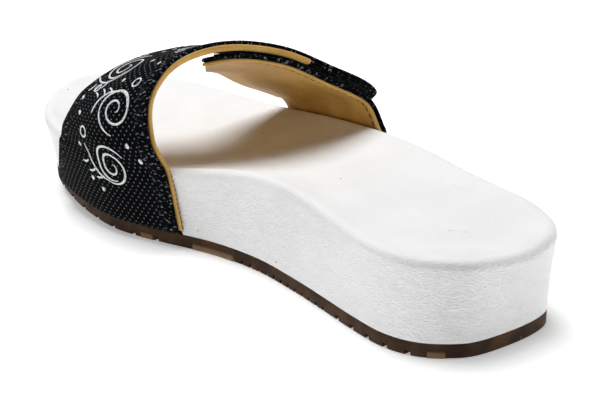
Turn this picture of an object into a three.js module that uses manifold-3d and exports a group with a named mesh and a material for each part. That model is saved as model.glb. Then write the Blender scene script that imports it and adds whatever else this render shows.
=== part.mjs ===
import * as THREE from "three";
import { mergeVertices } from "three/addons/utils/BufferGeometryUtils.js";
import Module from "manifold-3d";

// Slide sandal for the right foot, in millimetres: +Y to the toe, +X to the outer side, +Z up

// Driving sizes of the sole
const SOLE_LENGTH = 263;
const BALL_WIDTH = 98;
const HEEL_HEIGHT = 33;
const TOE_SPRING = 12;
const OUTSOLE_THICKNESS = 5.5;
const HEEL_FLARE = 2.4;
const TOE_FLARE = 4.8;
const RIM_RADIUS = 3;
const DISH_DEPTH = 5.5;
const GROOVE_WIDTH = 2.2;
const GROOVE_DEPTH = 1.8;

// Driving sizes of the straps and their closure
const INSTEP_REAR_HEIGHT = 78;
const INSTEP_FRONT_HEIGHT = 65;
const STRAP_THICKNESS = 3;
const LASTING_WIDTH = 9;
const PAD_THICKNESS = 0.6;
const FIT_GAP = 0.3;
const TIP_ROUNDING = 14;
const FRONT_HANG = 3;

// Where the toe spring and the wider toe flare begin, as shares of SOLE_LENGTH
const SPRING_START = 0.58;
const FLARE_START = 0.555;

// Stations from heel to toe, at equal steps of a half turn, which closes both ends round.
// inner and outer are shares of BALL_WIDTH from the centre line, the rims are shares of HEEL_HEIGHT.
const STATIONS = [
  { inner: 0.023, outer: 0.023, innerRim: 1.03, outerRim: 1.03 },
  { inner: -0.178, outer: 0.169, innerRim: 1.08, outerRim: 1.07 },
  { inner: -0.284, outer: 0.251, innerRim: 1.1, outerRim: 1.1 },
  { inner: -0.364, outer: 0.31, innerRim: 1.12, outerRim: 1.11 },
  { inner: -0.398, outer: 0.354, innerRim: 1.14, outerRim: 1.11 },
  { inner: -0.387, outer: 0.381, innerRim: 1.17, outerRim: 1.1 },
  { inner: -0.359, outer: 0.4, innerRim: 1.22, outerRim: 1.12 },
  { inner: -0.331, outer: 0.422, innerRim: 1.26, outerRim: 1.16 },
  { inner: -0.316, outer: 0.454, innerRim: 1.21, outerRim: 1.14 },
  { inner: -0.346, outer: 0.489, innerRim: 1.075, outerRim: 1.075 },
  { inner: -0.421, outer: 0.506, innerRim: 0.955, outerRim: 1.01 },
  { inner: -0.488, outer: 0.49, innerRim: 0.93, outerRim: 0.96 },
  { inner: -0.493, outer: 0.456, innerRim: 0.957, outerRim: 0.956 },
  { inner: -0.468, outer: 0.405, innerRim: 0.995, outerRim: 0.996 },
  { inner: -0.424, outer: 0.336, innerRim: 1.03, outerRim: 1.05 },
  { inner: -0.345, outer: 0.255, innerRim: 1.065, outerRim: 1.085 },
  { inner: -0.24, outer: 0.163, innerRim: 1.095, outerRim: 1.115 },
  { inner: -0.131, outer: 0.068, innerRim: 1.12, outerRim: 1.13 },
  { inner: -0.03, outer: -0.03, innerRim: 1.14, outerRim: 1.14 },
];

// Section over the instep from the inner rim to the outer rim, at equal steps.
// across is a share of the half width between the strap feet, rise of the height above the rims.
const INSTEP_SECTION = [
  { across: -1, rise: 0 },
  { across: -1.063, rise: 0.27 },
  { across: -0.987, rise: 0.64 },
  { across: -0.72, rise: 0.915 },
  { across: -0.307, rise: 1 },
  { across: 0.153, rise: 0.896 },
  { across: 0.527, rise: 0.662 },
  { across: 0.893, rise: 0.372 },
  { across: 1, rise: 0 },
];

// Rear and front edge of the straps' common surface at each rim, as shares of SOLE_LENGTH
const INNER_REAR = 0.5555;
const INNER_FRONT = 0.79;
const OUTER_REAR = 0.4405;
const OUTER_FRONT = 0.714;

// Lean of that surface along the foot per height, and how far its front bears to the outer side
const REAR_LEAN = 0.316;
const FRONT_LEAN = -0.192;
const FRONT_BEAR = 0.257;

// Straps: the side that each starts from, where the rear and front corner of its free end lie on
// the section, its edges at the rim and at the free end in shares of the width between rear and
// front, the part of its travel where they shift from one to the other, and how far its edges
// spread from rim to sole, in shares of SOLE_LENGTH
const MEDIAL_STRAP = {
  side: "inner",
  tipRear: 0.93,
  tipFront: 0.895,
  rearAtRim: 0,
  frontAtRim: 1.02,
  frontAtTip: 0.74,
  shiftStart: 0.45,
  shiftEnd: 1,
  rearSpread: -0.008,
  frontSpread: 0.035,
};
const LATERAL_STRAP = {
  side: "outer",
  tipRear: 0.465,
  tipFront: 0.545,
  rearAtRim: 0.045,
  frontAtRim: 0.91,
  frontAtTip: 1.02,
  shiftStart: 0,
  shiftEnd: 0.7,
  rearSpread: -0.012,
  frontSpread: 0.025,
};

// Where the front's bearing fades out, on the section
const BEAR_FADE = { start: 0.5, end: 0.85 };

// Where the lateral strap's hang is full: this far across its width and along its travel
const HANG_FULL = { width: 0.85, travel: 0.3 };

// Share of the reach over the instep that a strap's free end is rounded over
const TIP_REACH = 0.6;

// Heights of a strap's rows on the footbed's wall, as shares from the recess to the rim
const WALL_RISES = [0.45, 0.85];

// Closure pads, between these shares of the section and of the strap's width
const PAD_SPAN = { start: 0.52, end: 0.8, rear: 0.08, front: 0.42 };

// Tread grooves across the sole: first and last place as shares of SOLE_LENGTH, and how many
const GROOVE_SETS = [
  { first: 0.045, last: 0.215, count: 6 },
  { first: 0.6, last: 0.93, count: 9 },
];

// Length of a groove's cutter as a share of BALL_WIDTH, past both edges of the sole
const GROOVE_REACH = 1.5;

// Ends of the spine that the sole's rings fold onto, as shares of SOLE_LENGTH
const SPINE_ENDS = { heel: 0.13, toe: 0.87 };

// Fineness of the faceted surfaces
const RING_STEPS = 88;
const RIM_STEPS = 3;
const DISH_STEPS = 4;
const STRAP_STEPS = 26;
const STRAP_COLUMNS = 8;
const CORNER_STEPS = 3;
const PAD_STEPS = 8;
const PAD_COLUMNS = 4;

// Share from spine to edge, and up the wall, of the rings between
const HALFWAY = 0.5;

// Points closer than these count as one, in finished solids and before a cut
const WELD_DISTANCE = 0.01;
const SEAM_DISTANCE = 1e-4;

// Halvings that find a place along a side, and the step that a surface's slope is taken over
const SEARCH_STEPS = 40;
const SLOPE_STEP = 0.004;

const COLOURS = { outsole: 0x3e2c20, footbed: 0xf4f3f1, cloth: 0x1b1c22, hook: 0x141414, loop: 0x1a1a1a };

const UP = new THREE.Vector3(0, 0, 1);

// Closed rim curve: inner side from heel to toe, then the outer side back to the heel
function makeRim() {
  const last = STATIONS.length - 1;
  const pointAt = (row, across, rim) =>
    new THREE.Vector3(
      STATIONS[row][across] * BALL_WIDTH,
      (SOLE_LENGTH * (1 - Math.cos((Math.PI * row) / last))) / 2,
      STATIONS[row][rim] * HEEL_HEIGHT,
    );
  const points = [];
  for (let row = 0; row <= last; row += 1) {
    points.push(pointAt(row, "inner", "innerRim"));
  }
  for (let row = last - 1; row > 0; row -= 1) {
    points.push(pointAt(row, "outer", "outerRim"));
  }
  return new THREE.CatmullRomCurve3(points, true, "catmullrom", 0.5);
}

const rim = makeRim();

// Height of the underside of the whole shoe at a place along it
function groundAt(y) {
  const start = SPRING_START * SOLE_LENGTH;
  const share = Math.max(0, (y - start) / (SOLE_LENGTH - start));
  return TOE_SPRING * share * share;
}

// How far the rim stands out past the footbed's bottom edge
function flareAt(y) {
  const start = FLARE_START * SOLE_LENGTH;
  const share = THREE.MathUtils.clamp((y - start) / (SOLE_LENGTH - start), 0, 1);
  return HEEL_FLARE + (TOE_FLARE - HEEL_FLARE) * share * share;
}

// Rim corner and outward direction at a share of the way round
function rimAt(share) {
  const corner = rim.getPoint(share);
  const tangent = rim.getTangent(share);
  const outward = new THREE.Vector3(-tangent.y, tangent.x, 0).normalize();
  return { corner, outward };
}

// Share of the way round at a place along one side
function shareAt(side, y) {
  let low = 0;
  let high = 0.5;
  for (let step = 0; step < SEARCH_STEPS; step += 1) {
    const middle = (low + high) / 2;
    if (rim.getPoint(middle).y < y) {
      low = middle;
    } else {
      high = middle;
    }
  }
  return side === "inner" ? low : 1 - low;
}

// Closed solid from rings of equal length: the first and last ring fold onto the sole's spine
function solidFromRings(rings) {
  const count = rings[0].length;
  const positions = rings.flat().flatMap((point) => point.toArray());
  const index = [];
  for (let ring = 0; ring + 1 < rings.length; ring += 1) {
    for (let step = 0; step < count; step += 1) {
      const a = ring * count + step;
      const b = ring * count + ((step + 1) % count);
      index.push(a, a + count, b, b, a + count, b + count);
    }
  }
  return closedGeometry(positions, index);
}

// Welded geometry without the triangles that have no area
function closedGeometry(positions, index) {
  const loose = new THREE.BufferGeometry();
  loose.setAttribute("position", new THREE.Float32BufferAttribute(positions, 3));
  loose.setIndex(index);
  const welded = mergeVertices(loose, WELD_DISTANCE);
  const kept = [];
  const corners = welded.index.array;
  for (let at = 0; at < corners.length; at += 3) {
    const [a, b, c] = corners.slice(at, at + 3);
    if (a !== b && b !== c && c !== a) {
      kept.push(a, b, c);
    }
  }
  welded.setIndex(kept);
  return welded;
}

// Points of one ring round the sole. place gives a point from the rim corner, the outward
// direction and the spine point that the ring would fold onto.
function ringOf(place) {
  const ring = [];
  for (let step = 0; step < RING_STEPS; step += 1) {
    const { corner, outward } = rimAt(step / RING_STEPS);
    const twin = rimAt(((RING_STEPS - step) % RING_STEPS) / RING_STEPS).corner;
    const along = (corner.y + twin.y) / 2 / SOLE_LENGTH;
    const spine = new THREE.Vector3(
      (corner.x + twin.x) / 2,
      SOLE_LENGTH * THREE.MathUtils.lerp(SPINE_ENDS.heel, SPINE_ENDS.toe, along),
      0,
    );
    spine.z = floorAt(spine.y);
    ring.push(place(corner, outward, spine));
  }
  return ring;
}

// Point on the ground below the footbed's bottom edge, inward of the rim corner by the flare
function edgePoint(corner, outward) {
  const point = corner.clone().addScaledVector(outward, -flareAt(corner.y));
  point.z = groundAt(point.y);
  return point;
}

// Flat ring that follows the ground at a height, at a share from spine to bottom edge
function groundRing(height, share) {
  return ringOf((corner, outward, spine) => {
    const edge = edgePoint(corner, outward);
    const point = new THREE.Vector3().lerpVectors(spine, edge, share);
    point.z = groundAt(point.y) + height;
    return point;
  });
}

// Outsole with its grooves
function makeOutsole(wasm) {
  const rings = [
    groundRing(0, 0),
    groundRing(0, HALFWAY),
    groundRing(0, 1),
    groundRing(OUTSOLE_THICKNESS, 1),
    groundRing(OUTSOLE_THICKNESS, HALFWAY),
    groundRing(OUTSOLE_THICKNESS, 0),
  ];
  let solid = toManifold(wasm, solidFromRings(rings));
  for (const set of GROOVE_SETS) {
    for (let groove = 0; groove < set.count; groove += 1) {
      const share = THREE.MathUtils.lerp(set.first, set.last, groove / (set.count - 1));
      solid = solid.subtract(toManifold(wasm, grooveCutter(share * SOLE_LENGTH)));
    }
  }
  return fromManifold(solid);
}

// Bar across the sole, turned to lie along the ground there
function grooveCutter(y) {
  const bar = new THREE.BoxGeometry(GROOVE_REACH * BALL_WIDTH, GROOVE_WIDTH, 2 * GROOVE_DEPTH);
  const slope = Math.atan(groundAt(y + 0.5) - groundAt(y - 0.5));
  bar.rotateX(slope);
  bar.translate(0, y, groundAt(y));
  return bar;
}

// Footbed: underside, flared side, rounded rim and dished top, with a recess under each strap
function makeFootbed(wasm) {
  const underside = OUTSOLE_THICKNESS + FIT_GAP;
  const rings = [groundRing(underside, 0), groundRing(underside, HALFWAY)];
  rings.push(groundRing(underside, 1));
  rings.push(ringOf((corner, outward) => wallPoint(corner, outward, HALFWAY)));
  for (let step = 0; step <= RIM_STEPS; step += 1) {
    const turn = (Math.PI / 2) * (step / RIM_STEPS);
    rings.push(
      ringOf((corner, outward) => {
        const point = corner.clone().addScaledVector(outward, -RIM_RADIUS * (1 - Math.cos(turn)));
        point.z -= RIM_RADIUS * (1 - Math.sin(turn));
        return point;
      }),
    );
  }
  for (let step = 1; step <= DISH_STEPS; step += 1) {
    const share = 1 - step / DISH_STEPS;
    rings.push(ringOf((corner, outward, spine) => dishPoint(corner, outward, spine, share)));
  }
  let solid = toManifold(wasm, solidFromRings(rings));
  for (const strap of [MEDIAL_STRAP, LATERAL_STRAP]) {
    solid = solid.subtract(toManifold(wasm, recessCutter(strap)));
  }
  return fromManifold(solid);
}

// Point on the footbed's side wall, at a share from its bottom edge to the start of the rim
function wallPoint(corner, outward, share) {
  const foot = edgePoint(corner, outward);
  foot.z += OUTSOLE_THICKNESS + FIT_GAP;
  const head = corner.clone();
  head.z -= RIM_RADIUS;
  return foot.lerp(head, share);
}

// Height of the dished top on the spine, below the mean of the rims beside it
function floorAt(y) {
  const inner = rimAt(shareAt("inner", y)).corner.z;
  const outer = rimAt(shareAt("outer", y)).corner.z;
  return (inner + outer) / 2 - DISH_DEPTH;
}

// Point on the dished top, at a share from the spine to the inside of the rim
function dishPoint(corner, outward, spine, share) {
  const edge = corner.clone().addScaledVector(outward, -RIM_RADIUS);
  const point = new THREE.Vector3().lerpVectors(spine, edge, share);
  point.z = THREE.MathUtils.lerp(spine.z, edge.z, share * share);
  return point;
}

// Place along the rim of a strap's edge column, and how far it has spread at the sole
function footPlace(strap, column) {
  const rear = strap.side === "inner" ? INNER_REAR : OUTER_REAR;
  const front = strap.side === "inner" ? INNER_FRONT : OUTER_FRONT;
  const width = THREE.MathUtils.lerp(strap.rearAtRim, strap.frontAtRim, column);
  const atRim = THREE.MathUtils.lerp(rear, front, width);
  const spread = THREE.MathUtils.lerp(strap.rearSpread, strap.frontSpread, column);
  return { atRim: atRim * SOLE_LENGTH, atSole: (atRim + spread) * SOLE_LENGTH };
}

// Height of the recess roof above the ground: the strap lies under it with a gap on each side
const RECESS_ROOF = OUTSOLE_THICKNESS + FIT_GAP + STRAP_THICKNESS + FIT_GAP;

// Corner where the recess roof meets the footbed's wall
function recessCorner(side, y) {
  const { corner, outward } = rimAt(shareAt(side, y));
  const foot = wallPoint(corner, outward, 0);
  const head = wallPoint(corner, outward, 1);
  const share = (groundAt(foot.y) + RECESS_ROOF - foot.z) / (head.z - foot.z);
  return { point: foot.lerp(head, share), outward, share };
}

// Block that clears the footbed's underside above a strap's lasting edge
function recessCutter(strap) {
  const columns = STRAP_COLUMNS;
  const rear = footPlace(strap, 0).atSole - FIT_GAP;
  const front = footPlace(strap, 1).atSole + FIT_GAP;
  const row = (inward, height) => (column) => {
    const y = THREE.MathUtils.lerp(rear, front, column / columns);
    const { point, outward } = recessCorner(strap.side, y);
    const place = point.addScaledVector(outward, -inward);
    place.z = groundAt(place.y) + height;
    return place;
  };
  const outside = -2 * LASTING_WIDTH;
  const inside = LASTING_WIDTH + FIT_GAP;
  const low = OUTSOLE_THICKNESS - FIT_GAP;
  const ends = [
    [row(outside, low), row(outside, RECESS_ROOF)],
    [row(inside, low), row(inside, RECESS_ROOF)],
  ];
  return shell(1, columns, (u, v) => ends[0][u](v), (u, v) => ends[1][u](v));
}

// Point on the path of a strap that hugs the footbed, at a distance from the footbed's surface:
// the lasting edge, the turn round the recess corner and the wall up to the rim
function hugPoint(strap, row, column, distance) {
  const { atRim, atSole } = footPlace(strap, column);
  if (row <= CORNER_STEPS + 1) {
    const { point, outward } = recessCorner(strap.side, atSole);
    if (row === 0) {
      const inner = point.addScaledVector(outward, -LASTING_WIDTH);
      inner.z = groundAt(inner.y) + RECESS_ROOF - distance;
      return inner;
    }
    const turn = (Math.PI / 2) * ((row - 1) / CORNER_STEPS);
    point.addScaledVector(outward, Math.sin(turn) * distance);
    return point.addScaledVector(UP, -Math.cos(turn) * distance);
  }
  const rise = WALL_RISES[row - CORNER_STEPS - 2];
  const y = THREE.MathUtils.lerp(atSole, atRim, rise);
  const { corner, outward } = rimAt(shareAt(strap.side, y));
  const start = recessCorner(strap.side, y).share;
  const share = THREE.MathUtils.lerp(start, 1, rise);
  return wallPoint(corner, outward, share).addScaledVector(outward, distance);
}
const HUG_ROWS = CORNER_STEPS + 2 + WALL_RISES.length;

// Smooth curve through the instep section
const sectionCurve = new THREE.SplineCurve(
  INSTEP_SECTION.map((row) => new THREE.Vector2(row.across, row.rise)),
);

// Straps and pads lie on one common surface over the instep, each at its own depth
const LAYER_STEP = PAD_THICKNESS + FIT_GAP;
const LATERAL_DEPTH = STRAP_THICKNESS + FIT_GAP + 2 * LAYER_STEP;

// Point on the common surface: theta from the inner to the outer rim, width from rear to front
function instepPoint(theta, width) {
  const place = (rear, front) => THREE.MathUtils.lerp(rear, front, width) * SOLE_LENGTH;
  const inner = rimAt(shareAt("inner", place(INNER_REAR, INNER_FRONT))).corner;
  const outer = rimAt(shareAt("outer", place(OUTER_REAR, OUTER_FRONT))).corner;
  const left = inner.x - FIT_GAP - STRAP_THICKNESS;
  const right = outer.x + FIT_GAP + STRAP_THICKNESS + LATERAL_DEPTH;
  const section = sectionCurve.getPoint(theta);
  const fade = 1 - THREE.MathUtils.smoothstep(theta, BEAR_FADE.start, BEAR_FADE.end);
  const bear = FRONT_BEAR * Math.sin(Math.PI * theta) * fade;
  const across = section.x + bear * width;
  const share = (across + 1) / 2;
  const foot = THREE.MathUtils.lerp(inner.z, outer.z, share);
  const top = THREE.MathUtils.lerp(INSTEP_REAR_HEIGHT, INSTEP_FRONT_HEIGHT, width);
  const rise = (top - foot) * section.y;
  const lean = THREE.MathUtils.lerp(REAR_LEAN, FRONT_LEAN, width);
  return new THREE.Vector3(
    THREE.MathUtils.lerp(left, right, share),
    THREE.MathUtils.lerp(inner.y, outer.y, share) + lean * rise,
    foot + rise,
  );
}

// How much deeper the lateral strap hangs towards its front, past the closure pads
function hangAt(width) {
  return FRONT_HANG * THREE.MathUtils.smoothstep(width, PAD_SPAN.front, HANG_FULL.width);
}

// Point below the common surface, square to it
function layerPoint(theta, width, depth) {
  const step = SLOPE_STEP;
  const low = THREE.MathUtils.clamp(theta, step, 1 - step);
  const across = instepPoint(low + step, width).sub(instepPoint(low - step, width));
  const along = instepPoint(low, width + step).sub(instepPoint(low, width - step));
  const outward = across.cross(along).normalize();
  return instepPoint(theta, width).addScaledVector(outward, -depth);
}

// Place across a strap's width at a share of its travel over the instep: the edges shift from rim
// to tip, and turn round at the tip's corners
function widthAt(strap, travel, column) {
  const shift = THREE.MathUtils.smoothstep(travel, strap.shiftStart, strap.shiftEnd);
  const rear = THREE.MathUtils.lerp(strap.rearAtRim, 0, shift);
  const front = THREE.MathUtils.lerp(strap.frontAtRim, strap.frontAtTip, shift);
  const left = (1 - travel) * (BALL_WIDTH + INSTEP_REAR_HEIGHT - HEEL_HEIGHT) * TIP_REACH;
  const inset = Math.max(0, 1 - left / TIP_ROUNDING);
  const turned = TIP_ROUNDING * (1 - Math.sqrt(1 - inset * inset));
  const corner = turned / (SOLE_LENGTH * (INNER_FRONT - INNER_REAR));
  return THREE.MathUtils.lerp(rear + corner, front - corner, column);
}

// Strap: lasting edge, wall and the layer over the instep, as one shell of even thickness
function makeStrap(strap) {
  const depth = strap.side === "inner" ? 0 : LATERAL_DEPTH;
  const start = strap.side === "inner" ? 0 : 1;
  const rows = HUG_ROWS + STRAP_STEPS;
  const place = (row, column, below) => {
    if (row < HUG_ROWS) {
      return hugPoint(strap, row, column, FIT_GAP + STRAP_THICKNESS - below);
    }
    const travel = (row - HUG_ROWS) / STRAP_STEPS;
    const tip = THREE.MathUtils.lerp(strap.tipRear, strap.tipFront, column);
    const theta = THREE.MathUtils.lerp(start, tip, travel);
    const width = widthAt(strap, travel, column);
    const started = THREE.MathUtils.smoothstep(travel, 0, HANG_FULL.travel);
    const hang = strap.side === "inner" ? 0 : hangAt(width) * started;
    return layerPoint(theta, width, depth + hang + below);
  };
  const outer = (row, column) => place(row, column / STRAP_COLUMNS, 0);
  const inner = (row, column) => place(row, column / STRAP_COLUMNS, STRAP_THICKNESS);
  return shell(rows, STRAP_COLUMNS, outer, inner);
}

// Closure pad that lies at a depth below the common surface
function makePad(depth) {
  const place = (row, column, below) =>
    layerPoint(
      THREE.MathUtils.lerp(PAD_SPAN.start, PAD_SPAN.end, row / PAD_STEPS),
      THREE.MathUtils.lerp(PAD_SPAN.rear, PAD_SPAN.front, column / PAD_COLUMNS),
      depth + below,
    );
  const outer = (row, column) => place(row, column, 0);
  const inner = (row, column) => place(row, column, PAD_THICKNESS);
  return shell(PAD_STEPS, PAD_COLUMNS, outer, inner);
}

// Closed solid between two grids of the same size
function shell(rows, columns, outer, inner) {
  const positions = [];
  for (const surface of [outer, inner]) {
    for (let row = 0; row <= rows; row += 1) {
      for (let column = 0; column <= columns; column += 1) {
        positions.push(...surface(row, column).toArray());
      }
    }
  }
  const size = (rows + 1) * (columns + 1);
  const at = (layer, row, column) => layer * size + row * (columns + 1) + column;
  const index = [];
  const quad = (a, b, c, d) => index.push(a, b, c, a, c, d);
  for (let row = 0; row < rows; row += 1) {
    for (let column = 0; column < columns; column += 1) {
      quad(at(0, row, column), at(0, row + 1, column), at(0, row + 1, column + 1), at(0, row, column + 1));
      quad(at(1, row, column), at(1, row, column + 1), at(1, row + 1, column + 1), at(1, row + 1, column));
    }
    quad(at(0, row, 0), at(1, row, 0), at(1, row + 1, 0), at(0, row + 1, 0));
    quad(at(0, row, columns), at(0, row + 1, columns), at(1, row + 1, columns), at(1, row, columns));
  }
  for (let column = 0; column < columns; column += 1) {
    quad(at(0, 0, column), at(0, 0, column + 1), at(1, 0, column + 1), at(1, 0, column));
    quad(at(0, rows, column), at(1, rows, column), at(1, rows, column + 1), at(0, rows, column + 1));
  }
  const geometry = closedGeometry(positions, index);
  return volumeOf(geometry) < 0 ? turnedInsideOut(geometry) : geometry;
}

// Signed volume, positive where the faces point out
function volumeOf(geometry) {
  const position = geometry.attributes.position;
  const corners = geometry.index.array;
  const [a, b, c] = [new THREE.Vector3(), new THREE.Vector3(), new THREE.Vector3()];
  let sum = 0;
  for (let at = 0; at < corners.length; at += 3) {
    a.fromBufferAttribute(position, corners[at]);
    b.fromBufferAttribute(position, corners[at + 1]);
    c.fromBufferAttribute(position, corners[at + 2]);
    sum += a.dot(b.cross(c)) / 6;
  }
  return sum;
}

function turnedInsideOut(geometry) {
  geometry.setIndex(Array.from(geometry.index.array).reverse());
  return geometry;
}

function toManifold(wasm, geometry) {
  const loose = geometry.clone();
  loose.deleteAttribute("normal");
  loose.deleteAttribute("uv");
  const solid = mergeVertices(loose, SEAM_DISTANCE);
  if (volumeOf(solid) < 0) {
    turnedInsideOut(solid);
  }
  return new wasm.Manifold(
    new wasm.Mesh({
      numProp: 3,
      vertProperties: new Float32Array(solid.attributes.position.array),
      triVerts: new Uint32Array(solid.index.array),
    }),
  );
}

function fromManifold(solid) {
  const mesh = solid.simplify(WELD_DISTANCE).getMesh();
  return closedGeometry(Array.from(mesh.vertProperties), Array.from(mesh.triVerts));
}

function namedMesh(name, geometry, color, roughness) {
  geometry.computeVertexNormals();
  const material = new THREE.MeshStandardMaterial({ color, roughness, metalness: 0 });
  const mesh = new THREE.Mesh(geometry, material);
  mesh.name = name;
  return mesh;
}

const wasm = await Module();
wasm.setup();

const shoe = new THREE.Group();
shoe.add(namedMesh("outsole", makeOutsole(wasm), COLOURS.outsole, 0.6));
shoe.add(namedMesh("footbed", makeFootbed(wasm), COLOURS.footbed, 0.55));
shoe.add(namedMesh("strap_medial", makeStrap(MEDIAL_STRAP), COLOURS.cloth, 0.85));
shoe.add(namedMesh("strap_lateral", makeStrap(LATERAL_STRAP), COLOURS.cloth, 0.85));
shoe.add(namedMesh("hook_pad", makePad(STRAP_THICKNESS + FIT_GAP), COLOURS.hook, 0.9));
shoe.add(namedMesh("loop_pad", makePad(STRAP_THICKNESS + FIT_GAP + LAYER_STEP), COLOURS.loop, 0.95));

// The shoe stands on z = 0 with its box centred on the origin
const box = new THREE.Box3().setFromObject(shoe);
const centre = box.getCenter(new THREE.Vector3());
shoe.position.set(-centre.x, -centre.y, -box.min.z);

const group = new THREE.Group();
group.add(shoe);
export default group;
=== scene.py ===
"""Looks of a slide sandal: coated footbed, gum outsole and two cloth straps that close over the instep."""

import logging
import math
from dataclasses import dataclass, field
from enum import Enum

import bmesh
import bpy
import numpy as np
from mathutils import Matrix, Vector, noise

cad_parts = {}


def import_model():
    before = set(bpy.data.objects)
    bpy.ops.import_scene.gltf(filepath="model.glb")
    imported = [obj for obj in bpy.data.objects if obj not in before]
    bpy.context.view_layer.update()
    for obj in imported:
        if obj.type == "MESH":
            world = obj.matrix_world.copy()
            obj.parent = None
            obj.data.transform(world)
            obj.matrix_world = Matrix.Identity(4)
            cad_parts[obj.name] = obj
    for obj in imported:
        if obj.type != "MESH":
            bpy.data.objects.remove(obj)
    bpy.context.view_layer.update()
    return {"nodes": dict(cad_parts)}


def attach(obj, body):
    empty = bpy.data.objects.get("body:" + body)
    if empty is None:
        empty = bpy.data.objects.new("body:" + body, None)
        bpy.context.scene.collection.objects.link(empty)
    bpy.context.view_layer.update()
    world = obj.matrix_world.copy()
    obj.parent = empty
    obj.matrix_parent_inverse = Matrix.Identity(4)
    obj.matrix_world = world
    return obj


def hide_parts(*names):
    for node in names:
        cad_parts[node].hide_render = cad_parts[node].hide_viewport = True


LOG = logging.getLogger("sandal")

Socket = bpy.types.NodeSocket

MM = 0.001
# The sole's own axes start at the heel, in millimetres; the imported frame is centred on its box
SHIFT = np.array([-1.1819, -131.5, 0.0])

# Side outline at equal steps of a half turn: inner and outer share of the ball width,
# inner and outer rim as shares of the heel height
STATIONS = (
    (0.023, 0.023, 1.03, 1.03),
    (-0.178, 0.169, 1.08, 1.07),
    (-0.284, 0.251, 1.1, 1.1),
    (-0.364, 0.31, 1.12, 1.11),
    (-0.398, 0.354, 1.14, 1.11),
    (-0.387, 0.381, 1.17, 1.1),
    (-0.359, 0.4, 1.22, 1.12),
    (-0.331, 0.422, 1.26, 1.16),
    (-0.316, 0.454, 1.21, 1.14),
    (-0.346, 0.489, 1.075, 1.075),
    (-0.421, 0.506, 0.955, 1.01),
    (-0.488, 0.49, 0.93, 0.96),
    (-0.493, 0.456, 0.957, 0.956),
    (-0.468, 0.405, 0.995, 0.996),
    (-0.424, 0.336, 1.03, 1.05),
    (-0.345, 0.255, 1.065, 1.085),
    (-0.24, 0.163, 1.095, 1.115),
    (-0.131, 0.068, 1.12, 1.13),
    (-0.03, -0.03, 1.14, 1.14),
)
# Section over the instep at equal steps: across and rise
INSTEP_SECTION = (
    (-1.0, 0.0),
    (-1.063, 0.27),
    (-0.987, 0.64),
    (-0.72, 0.915),
    (-0.307, 1.0),
    (0.153, 0.896),
    (0.527, 0.662),
    (0.893, 0.372),
    (1.0, 0.0),
)


class Side(Enum):
    """Side of the sole that a strap starts from."""

    INNER = "inner"
    OUTER = "outer"


def smooth(value: np.ndarray, low: float, high: float) -> np.ndarray:
    """Soft step from 0 at low to 1 at high."""
    share = np.clip((np.asarray(value, float) - low) / (high - low), 0.0, 1.0)
    return share * share * (3.0 - 2.0 * share)


def lerp(a: np.ndarray, b: np.ndarray, share: np.ndarray) -> np.ndarray:
    """Point at a share of the way from a to b."""
    return a + (b - a) * share


def bell(value: np.ndarray, middle: float, half_width: float) -> np.ndarray:
    """Soft bump of height one around the middle."""
    return np.exp(-(((value - middle) / half_width) ** 2))


def unit(vectors: np.ndarray) -> np.ndarray:
    """The same directions at length one."""
    return vectors / np.maximum(np.linalg.norm(vectors, axis=-1, keepdims=True), 1e-12)


def catmull(rows: np.ndarray, place: np.ndarray, closed: bool) -> np.ndarray:
    """Smooth curve through rows of points.

    Args:
        rows: Points, with the curve running along the first axis.
        place: Places along the curve, where each whole number is a point.
        closed: Whether the last point runs on into the first.

    Returns:
        One point, or row of points, for each place.
    """
    count = len(rows)
    first = np.floor(place).astype(int)
    if not closed:
        first = np.clip(first, 0, count - 2)
    share = (place - first).reshape((-1,) + (1,) * (rows.ndim - 1))
    around = [first + step for step in (-1, 0, 1, 2)]
    if closed:
        before, start, end, after = (rows[index % count] for index in around)
    else:
        before, start, end, after = (rows[np.clip(index, 0, count - 1)] for index in around)
    leave = 0.5 * (end - before)
    reach = 0.5 * (after - start)
    square = share * share
    cube = square * share
    bend = -3.0 * start + 3.0 * end - 2.0 * leave - reach
    twist = 2.0 * start - 2.0 * end + leave + reach
    return start + leave * share + bend * square + twist * cube


def to_frame(points: np.ndarray) -> np.ndarray:
    """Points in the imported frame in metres, from points on the sole in millimetres."""
    return (points + SHIFT) * MM


def add_grid(
    bm: bmesh.types.BMesh,
    points: np.ndarray,
    cloth: np.ndarray | None = None,
    edge: np.ndarray | None = None,
) -> list[bmesh.types.BMVert]:
    """Adds a grid whose corners are laid on rows of points.

    Args:
        bm: Mesh to add to.
        points: Rows by columns of points on the sole, in millimetres.
        cloth: Places on the cloth in millimetres, kept as the UV map of that name.
        edge: Distance from the cloth's nearest edge in millimetres, kept as an attribute.

    Returns:
        The grid's vertices.
    """
    rows, columns = points.shape[:2]
    layer = None
    distance = None
    if cloth is not None:
        layer = bm.loops.layers.uv.get("cloth") or bm.loops.layers.uv.new("cloth")
    if edge is not None:
        distance = bm.verts.layers.float.get("edge_mm") or bm.verts.layers.float.new("edge_mm")
    made = bmesh.ops.create_grid(bm, x_segments=columns - 1, y_segments=rows - 1, size=1.0)
    verts = made["verts"]
    placed = to_frame(points)
    spots = {}
    for vert in verts:
        column = round((vert.co.x + 1.0) / 2.0 * (columns - 1))
        row = round((vert.co.y + 1.0) / 2.0 * (rows - 1))
        spots[vert] = (row, column)
    if layer is not None:
        faces = {face for vert in verts for face in vert.link_faces}
        for face in faces:
            for loop in face.loops:
                loop[layer].uv = cloth[spots[loop.vert]]
    if distance is not None:
        for vert in verts:
            vert[distance] = edge[spots[vert]]
    for vert in verts:
        vert.co = placed[spots[vert]]
    return verts


def link_object(name: str, data: bpy.types.ID) -> bpy.types.Object:
    """A new object with that data, linked to the scene."""
    made = bpy.data.objects.new(name, data)
    bpy.context.scene.collection.objects.link(made)
    return made


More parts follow.
